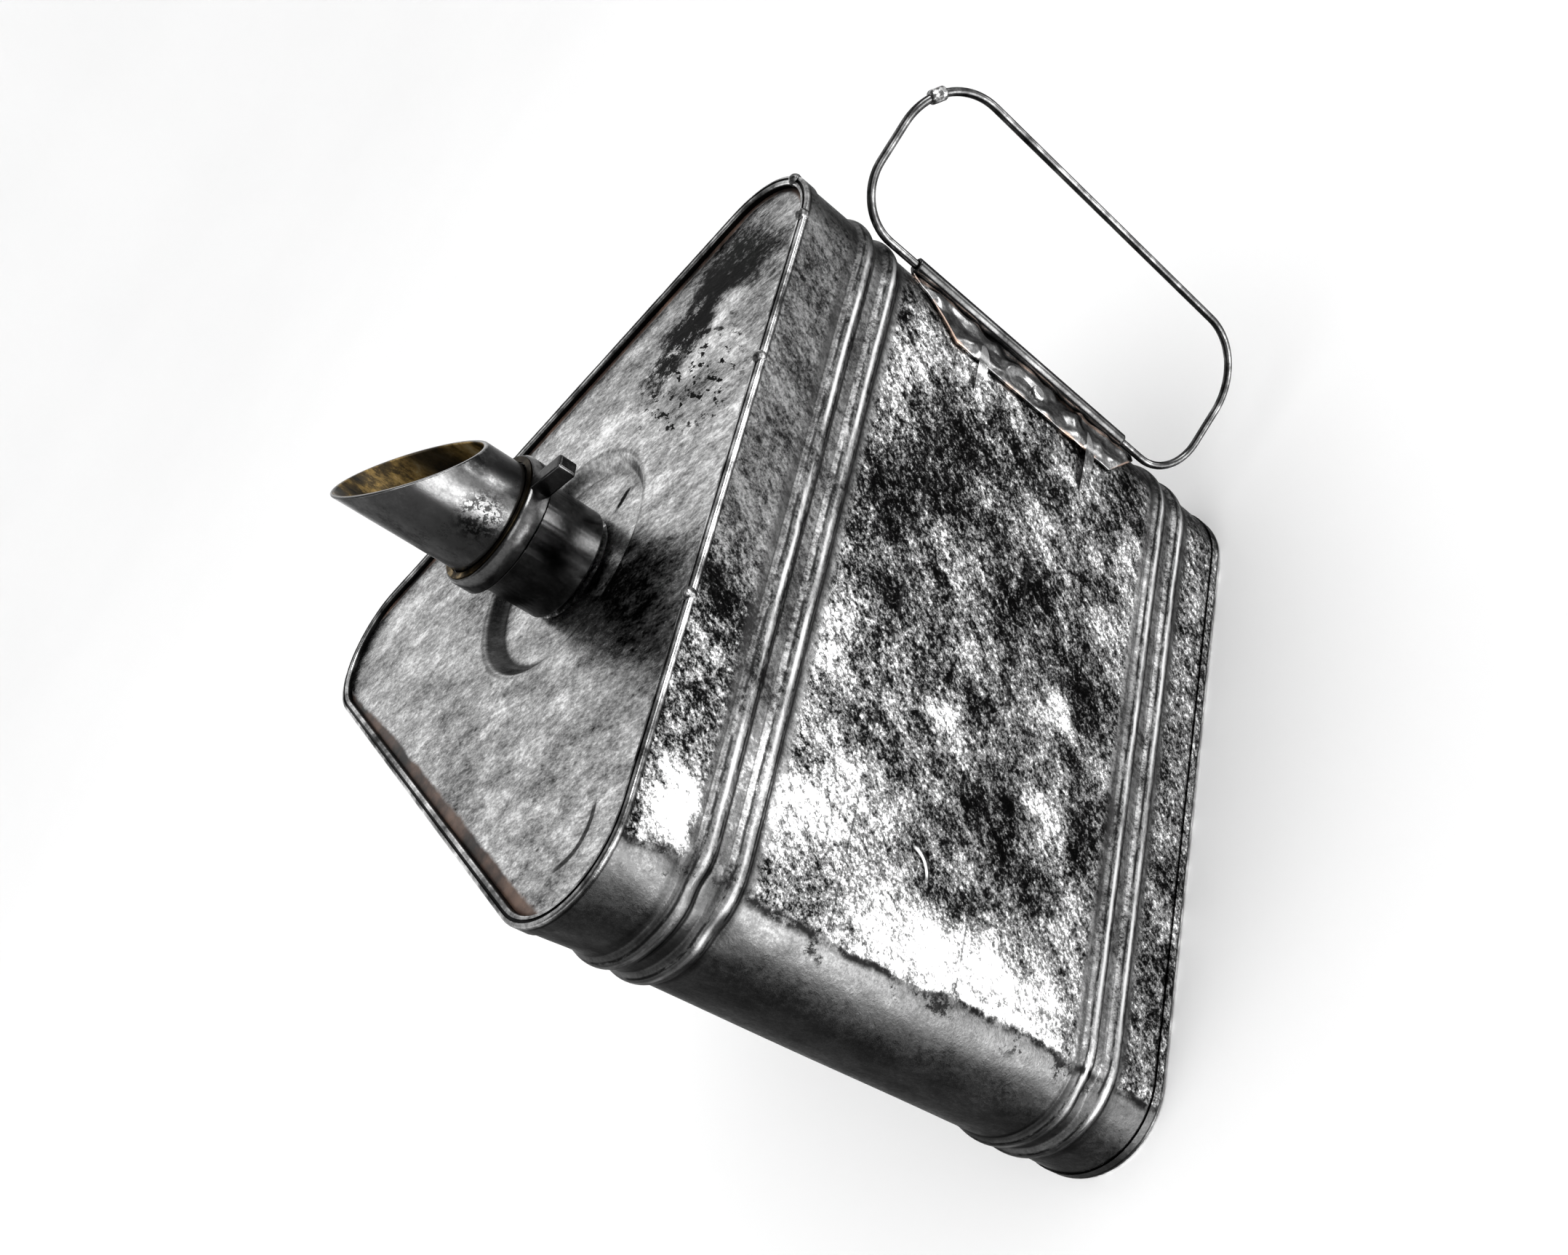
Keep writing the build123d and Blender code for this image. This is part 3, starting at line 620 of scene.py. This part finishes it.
# Millimetres. The bevel only works once the weld has joined the imported faces' points.
ROUNDED = {"thumb_lug": 0.8, "lock_ring": 0.45, "collar": 0.6}
for name, width in ROUNDED.items():
    joined = NODE[name].modifiers.new("joined_points", "WELD")
    joined.merge_threshold = 0.002 * MM
    soft = NODE[name].modifiers.new("rounded_edges", "BEVEL")
    soft.width = width * MM
    soft.segments = 3
    soft.limit_method = "ANGLE"
    soft.angle_limit = radians(35)
    soft.harden_normals = True


# --- can wall: beads, dents and a slight wobble --------------------------------------------------
def wall_point(u):
    """Point and outward normal at a length round the can, 0 at the middle of the camera's side."""
    k, t = divmod(u + FLAT / 2, FLAT + ARC)
    azimuth = 30 - 120 * k
    if t <= FLAT:
        n = toward(azimuth)
        return AXIS + n * INRADIUS + toward(azimuth - 90) * (t - FLAT / 2), n
    n = toward(azimuth - degrees((t - FLAT) / CORNER_R))
    return AXIS + toward(azimuth - 60) * CORNER_C + n * CORNER_R, n


def bead_height(z):
    d = min(abs(min(z, TOP - z) - b) for b in BEADS) / BEAD_HALF
    return BEAD_OUT * (1 - d ** 2.2) ** 0.9 if d < 1 else 0.0


# Dents: length round the can, height, half sizes and depth, in mm.
DENTS = (
    (88, 151, 4, 4, 1.5), (95, 144, 4, 3, 1.3), (85, 158, 4, 3, 1.0), (90, 26, 4, 4, 1.0),
    (58, 97, 7, 12, 0.35), (20, 60, 22, 18, 0.5), (-30, 115, 26, 18, 0.4), (40, 128, 16, 12, 0.3),
    (250, 70, 24, 20, 0.7), (300, 120, 14, 12, 0.5), (420, 60, 26, 22, 0.7),
    (470, 130, 12, 16, 0.5), (150, 100, 16, 24, 0.35), (380, 152, 6, 5, 0.7),
)
ROUND = 3 * (FLAT + ARC)


def wall_sink(u, z, p):
    """How far the wall lies inside its drawn shape."""
    clear = smooth(z, 6 * MM, 16 * MM) * smooth(TOP - z, 6 * MM, 16 * MM)
    plate = abs(((u + FLAT / 2 + ARC / 2) + ROUND / 2) % ROUND - ROUND / 2)
    clear *= smooth(plate, 30 * MM, 52 * MM)
    sink = 0.22 * MM * (1 + noise.noise(p * 22))
    for at_u, at_z, half_u, half_z, depth in DENTS:
        du = ((u - at_u * MM) + ROUND / 2) % ROUND - ROUND / 2
        q = (du / (half_u * MM)) ** 2 + ((z - at_z * MM) / (half_z * MM)) ** 2
        if q < 6:
            sink += depth * MM * exp(-q)
    return sink * clear


def build_wall():
    columns = []
    for k in range(3):
        first = -FLAT / 2 + k * (FLAT + ARC)
        columns += [first + FLAT * i / 56 for i in range(56)]
        columns += [first + FLAT + ARC * i / 36 for i in range(36)]
    rows, z = [], WALL_END
    while z < TOP - WALL_END:
        rows.append(z)
        near = min(abs(min(z, TOP - z) - b) for b in BEADS)
        z += 0.4 * MM if near < 4.4 * MM else 2.4 * MM
    rows.append(TOP - WALL_END)
    verts = []
    for z in rows:
        out = bead_height(z)
        for u in columns:
            p, n = wall_point(u)
            p = p + Vector((0, 0, z))
            verts.append(p + n * (out - wall_sink(u, z, p)))
    faces = [f[::-1] for f in grid_faces(len(rows), len(columns), True)]
    obj = new_object("can_wall", verts, faces, "can", "galvanised", "body_shell")
    thicken(obj, WALL)
    paint(obj, LOOKS["galvanised"])


build_wall()


# --- end panel with its dished well --------------------------------------------------------------
def rim_distance(azimuth, inset):
    """Distance from the axis to the rounded triangle, inset by that much."""
    off = abs((azimuth - 90 + 60) % 120 - 60)            # from the nearest corner
    from_side = radians(60 - off)
    if (INRADIUS - inset) * tan(from_side) <= FLAT / 2:
        return (INRADIUS - inset) / cos(from_side)
    across = CORNER_C * sin(radians(off))
    return CORNER_C * cos(radians(off)) + sqrt((CORNER_R - inset) ** 2 - across ** 2)


def build_panel():
    cols = 288
    near = [NECK_HOLE, 15, 18, 21, 24, 26.5, 28] + [28.5 + 0.5 * i for i in range(12)]
    far = 34
    verts = []
    for i in range(len(near) + far):
        for j in range(cols):
            azimuth = 360 * j / cols
            if i < len(near):
                r = near[i] * MM
            else:
                t = (i - len(near) + 1) / far
                r = WELL_RIM + (rim_distance(azimuth, PANEL_INSET) - WELL_RIM) * t
            p = AXIS + toward(azimuth) * r
            z = PANEL_Z - WELL_DEPTH * (1 - smooth(r, *WELL_WALL))
            if i >= len(near):
                fade = smooth(1 - t, 0.0, 0.2) * smooth(t, 0.0, 0.15)
                z += 0.16 * MM * fade * noise.noise(p * 26)
            verts.append((p.x, p.y, z))
    faces = grid_faces(len(near) + far, cols, True)
    obj = new_object("end_panel", verts, [f[::-1] for f in faces], "can", "end_sheet", "top_panel")
    thicken(obj, WALL)
    paint(obj, LOOKS["end_sheet"])


build_panel()


# --- hinge plate ---------------------------------------------------------------------------------
def build_plate():
    depth = CORNER_R + CURL_R
    run = sqrt(CURL_DIST ** 2 - depth ** 2)
    leave = CURL_AZIMUTH - degrees(acos(depth / CURL_DIST))
    arc_len = CORNER_R * radians(leave - PLATE_FIRST_AZIMUTH)
    curl_c = APEX + toward(CURL_AZIMUTH) * CURL_DIST
    along = toward(leave + 90)

    def path(w):
        """Can-side face of the sheet and the direction out of it."""
        if w < arc_len:
            n = toward(PLATE_FIRST_AZIMUTH + degrees(w / CORNER_R))
            return APEX + n * CORNER_R, n
        if w < arc_len + run:
            n = toward(leave)
            return APEX + n * CORNER_R + along * (w - arc_len), n
        turn = (w - arc_len - run) / CURL_R
        n = toward(leave) * cos(turn) - along * sin(turn)
        return curl_c - n * CURL_R, n

    def crumple(w, z):
        q = Vector((w * 120, z * 85, 3.1))
        ridges = 1 - abs(noise.noise(q)) * 3.0
        return 1.1 * MM * max(0.0, ridges * 0.7 + 0.6 * noise.noise(q * 1.9) + 0.15)

    front_az = 45.0                                      # the slanted ends are straight from here
    t_low = CURL_DIST * sin(radians(PLATE_FIRST_AZIMUTH - front_az)) - 1 * MM
    t_mid = CURL_DIST * sin(radians(CURL_AZIMUTH - 6 - front_az))

    def ends(p):
        """Heights of the sheet's lower and upper end at a point."""
        t = (p - APEX).dot(toward(front_az + 90))
        f = min(1.0, max(0.0, (t - t_low) / (t_mid - t_low)))
        return tuple((far + (near - far) * f) * MM for far, near in (PLATE_LOW, PLATE_HIGH))

    verts, faces, edge = [], [], []
    cols = 150
    w_sheet = arc_len + run
    rows = 34
    for i in range(rows):
        w = w_sheet * i / (rows - 1)
        p, n = path(w)
        low, high = ends(p)
        for j in range(cols):
            z = low + (high - low) * j / (cols - 1)
            border = min(w, z - low, high - z)
            amount = smooth(border, -1 * MM, 3 * MM) * smooth(w_sheet - w, 0, 3 * MM)
            lift = crumple(w, z) * amount + 0.02 * MM
            verts.append(p + Vector((0, 0, z)) + n * (PLATE_T / 2 + lift))
            edge.append(border / MM)
    faces += grid_faces(rows, cols, False)
    first = len(verts)
    curl_low, curl_high = CURL_ENDS
    curl_rows = 30
    for i in range(curl_rows):
        w = w_sheet + CURL_R * radians(CURL_TURN) * i / (curl_rows - 1)
        p, n = path(w)
        for j in range(cols):
            z = (curl_low + (curl_high - curl_low) * j / (cols - 1)) * MM
            verts.append(p + Vector((0, 0, z)) + n * PLATE_T / 2)
            edge.append(min(4.0, (z - curl_low * MM) / MM, (curl_high * MM - z) / MM))
    faces += grid_faces(curl_rows, cols, False, first)
    obj = new_object("hinge_plate", verts, [f[::-1] for f in faces], "can", "bright_plate",
                     "handle_bracket")
    layer = obj.data.attributes.new("edge_mm", "FLOAT", "POINT")
    layer.data.foreach_set("value", edge)
    thicken(obj, PLATE_T, 0)
    paint(obj, hinge_plate())


build_plate()


# --- floor, lights and camera --------------------------------------------------------------------
def build_floor():
    rings = [0.2, 0.5, 0.9, 1.4, 1.8, 2.1, 2.35, 2.5, 2.58, 2.6]
    rises = [0, 0, 0, 0, 0.03, 0.12, 0.32, 0.65, 1.1, 1.8]
    cols = 96
    verts = [(0, 0, 0)] + [(r * cos(2 * pi * j / cols), r * sin(2 * pi * j / cols), h)
                           for r, h in zip(rings, rises) for j in range(cols)]
    faces = [(0, 1 + j, 1 + (j + 1) % cols) for j in range(cols)]
    faces += [f[::-1] for f in grid_faces(len(rings), cols, True, 1)]
    mesh = bpy.data.meshes.new("studio_floor")
    mesh.from_pydata(verts, [], faces)
    for poly in mesh.polygons:
        poly.use_smooth = True
    floor = bpy.data.objects.new("studio_floor", mesh)
    bpy.context.scene.collection.objects.link(floor)
    floor.location.z = -0.2 * MM
    paper = Look("studio_paper", metallic=0.0)
    paint(floor, paper.finish(paper.ramp(paper.noise(300, 2, 0.5), (0.3, 0.93), (0.7, 0.95)), 0.9))
    floor.visible_glossy = False                         # the metal reflects the studio, not paper


build_floor()


def direction(azimuth, elevation):
    flat = toward(azimuth) * cos(radians(elevation))
    return Vector((flat.x, flat.y, sin(radians(elevation))))


# The studio round the can: soft panels by azimuth, elevation, half angle, softness and strength.
PANELS = (
    (3, -27, 9, 18, 10.0),
    (22, -24, 10, 18, 2.2),
    (63, -24, 4, 10, 9.0),
    (63, 28, 7, 12, 16.0),
    (5, 28, 10, 14, 5.0),
    (62, -40, 14, 20, 1.0),
    (60, -72, 14, 22, 1.5),
    (180, 26, 34, 40, 0.95),
    (-130, -25, 16, 26, 0.4),
    (150, -25, 36, 34, 0.35),
)
AMBIENT = 0.17
BELT = 1.0                                               # a level band of light all the way round
BELT_EDGES = ((-17, -7, BELT), (12, 24, -BELT))


def build_world():
    """The studio for reflections, and plain white for everything else."""
    world = bpy.data.worlds.new("studio")
    bpy.context.scene.world = world
    world.use_nodes = True
    tree = world.node_tree
    tree.nodes.clear()

    def node(kind, *values, **props):
        n = tree.nodes.new(kind)
        for key, value in props.items():
            setattr(n, key, value)
        for socket, value in zip(n.inputs, values):
            if isinstance(value, bpy.types.NodeSocket):
                tree.links.new(value, socket)
            elif value is not None:
                socket.default_value = value
        return n

    ray = tree.nodes.new("ShaderNodeTexCoord").outputs["Generated"]
    total = None
    for azimuth, elevation, half, soft, strength in PANELS:
        facing = node("ShaderNodeVectorMath", ray, tuple(direction(azimuth, elevation)),
                      operation="DOT_PRODUCT").outputs["Value"]
        glow = node("ShaderNodeMapRange", facing, cos(radians(half + soft)), cos(radians(half)),
                    0.0, strength, interpolation_type="SMOOTHSTEP").outputs[0]
        total = glow if total is None else node("ShaderNodeMath", total, glow,
                                                operation="ADD").outputs[0]
    ray_up = node("ShaderNodeSeparateXYZ", ray).outputs[2]
    for low, high, strength in BELT_EDGES:
        edge = node("ShaderNodeMapRange", ray_up, sin(radians(low)), sin(radians(high)),
                    0.0, strength, interpolation_type="SMOOTHSTEP").outputs[0]
        total = node("ShaderNodeMath", total, edge, operation="ADD").outputs[0]
    total = node("ShaderNodeMath", total, AMBIENT, operation="ADD").outputs[0]
    studio = node("ShaderNodeBackground", (1, 1, 1, 1), total)
    white = node("ShaderNodeBackground", (1, 1, 1, 1), 1.0)
    glossy = tree.nodes.new("ShaderNodeLightPath").outputs["Is Glossy Ray"]
    mixed = node("ShaderNodeMixShader", glossy, white.outputs[0], studio.outputs[0])
    out = tree.nodes.new("ShaderNodeOutputWorld")
    tree.links.new(mixed.outputs[0], out.inputs[0])


build_world()


def area_light(name, azimuth, elevation, distance, size, watts):
    data = bpy.data.lights.new(name, "AREA")
    data.shape = "DISK"
    data.size = size
    data.energy = watts
    obj = bpy.data.objects.new(name, data)
    bpy.context.scene.collection.objects.link(obj)
    aim = Vector((0, 0, TOP / 2))
    obj.location = aim + direction(azimuth, elevation) * distance
    obj.rotation_mode = "QUATERNION"
    obj.rotation_quaternion = (aim - obj.location).to_track_quat("-Z", "Y")
    obj.visible_camera = False
    obj.visible_glossy = False


area_light("key_softbox", -60, 62, 1.4, 0.9, 7.0)

# The photograph's viewing angle. The camera is turned about its own axis, so +Z isn't up in it.
FOCAL_MM = 34.77
CAMERA_AT = (0.36091, -0.04911, 0.31708)
CAMERA_RIGHT = Vector((0.45203, 0.51818, -0.72606))
CAMERA_BACK = Vector((0.86311, -0.04860, 0.50267))


def build_camera():
    data = bpy.data.cameras.new("camera")
    data.sensor_fit = "HORIZONTAL"
    data.sensor_width = 36.0
    data.lens = FOCAL_MM
    data.clip_start = 0.01
    data.clip_end = 20
    camera = bpy.data.objects.new("camera", data)
    bpy.context.scene.collection.objects.link(camera)
    up = CAMERA_BACK.cross(CAMERA_RIGHT).normalized()
    turn = Matrix((CAMERA_RIGHT, up, CAMERA_BACK)).transposed().to_4x4()
    camera.matrix_world = Matrix.Translation(CAMERA_AT) @ turn
    bpy.context.scene.camera = camera


build_camera()
bpy.context.scene.view_settings.view_transform = "Standard"
